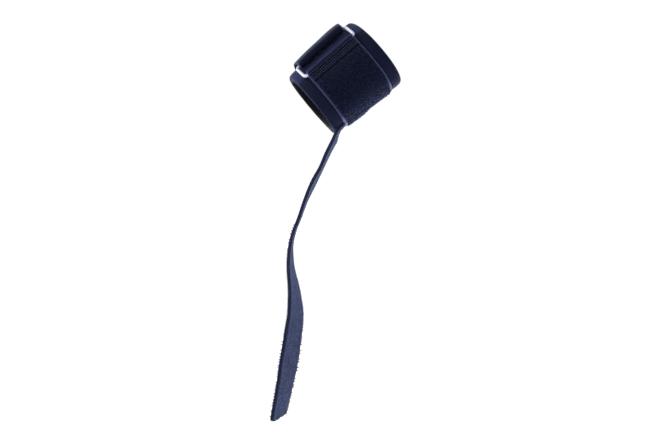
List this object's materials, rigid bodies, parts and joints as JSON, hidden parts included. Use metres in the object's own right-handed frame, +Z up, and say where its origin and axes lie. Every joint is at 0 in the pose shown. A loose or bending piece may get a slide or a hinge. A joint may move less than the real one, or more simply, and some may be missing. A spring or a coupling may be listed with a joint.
{
  "type": "wrist splint",
  "caption": "Soft wrist support band with a loop tape panel, a wire ring, a closing strap folded back over the ring, and a long strap hanging from its underside.",
  "frame": {"origin": "middle of the wrist opening, half way along the band", "axes": "+Z up with the strap hanging down, the forearm slopes up towards +X at 39 degrees, +Y away from the viewer; the thumb side is below"},
  "size_m": [0.1139, 0.0726, 0.3435],
  "materials": {
    "lining": "knitted, matte",
    "foam": "closed-cell foam",
    "jersey": "smooth brushed jersey",
    "tape_ground": "woven, satin",
    "loop_pile": "short loop pile",
    "thread": "twisted thread",
    "webbing": "woven",
    "strap_pile": "short loop pile",
    "hook_tape": "moulded hooks",
    "coated_wire": "smooth white coating"
  },
  "bodies": {
    "cuff": {"inner_lining": "lining", "foam_core": "foam", "outer_jersey": "jersey", "panel_tape": "tape_ground", "panel_pile": "loop_pile", "panel_side_stitches": "thread", "ring_fold_stitches": "thread", "closing_strap": "tape_ground", "closing_strap_pile": "loop_pile", "strap_anchor_stitches": "thread", "strap_root": "webbing", "root_bar_tack": "thread"},
    "ring": {"wire_ring": "coated_wire", "strap_bight": "tape_ground"},
    "flap": {"closing_flap": "tape_ground", "flap_hook_patch": "hook_tape", "flap_patch_stitches": "thread"},
    "strap": {"hanging_strap": "webbing", "hanging_strap_pile": "strap_pile", "strap_hook_tab": "hook_tape", "strap_tab_stitches": "thread"}
  },
  "joints": [
    {"name": "ring_swing", "type": "hinge", "parent": "cuff", "child": "ring", "pos_m": [-0.01312, -0.02443, 0.01573], "axis": [0.755, -0.0295, 0.6551], "range_deg": [0, 25]},
    {"name": "flap_peel", "type": "hinge", "parent": "ring", "child": "flap", "pos_m": [-0.02014, -0.01034, 0.02446], "axis": [0.755, -0.0295, 0.6551], "range_deg": [0, 65]},
    {"name": "strap_swing", "type": "hinge", "parent": "cuff", "child": "strap", "pos_m": [-0.00116, -0.01149, -0.04243], "axis": [0, 1, 0], "range_deg": [-35, 15], "stiffness_Nm_per_rad": 0.0032, "springref_deg": 35.52}
  ]
}
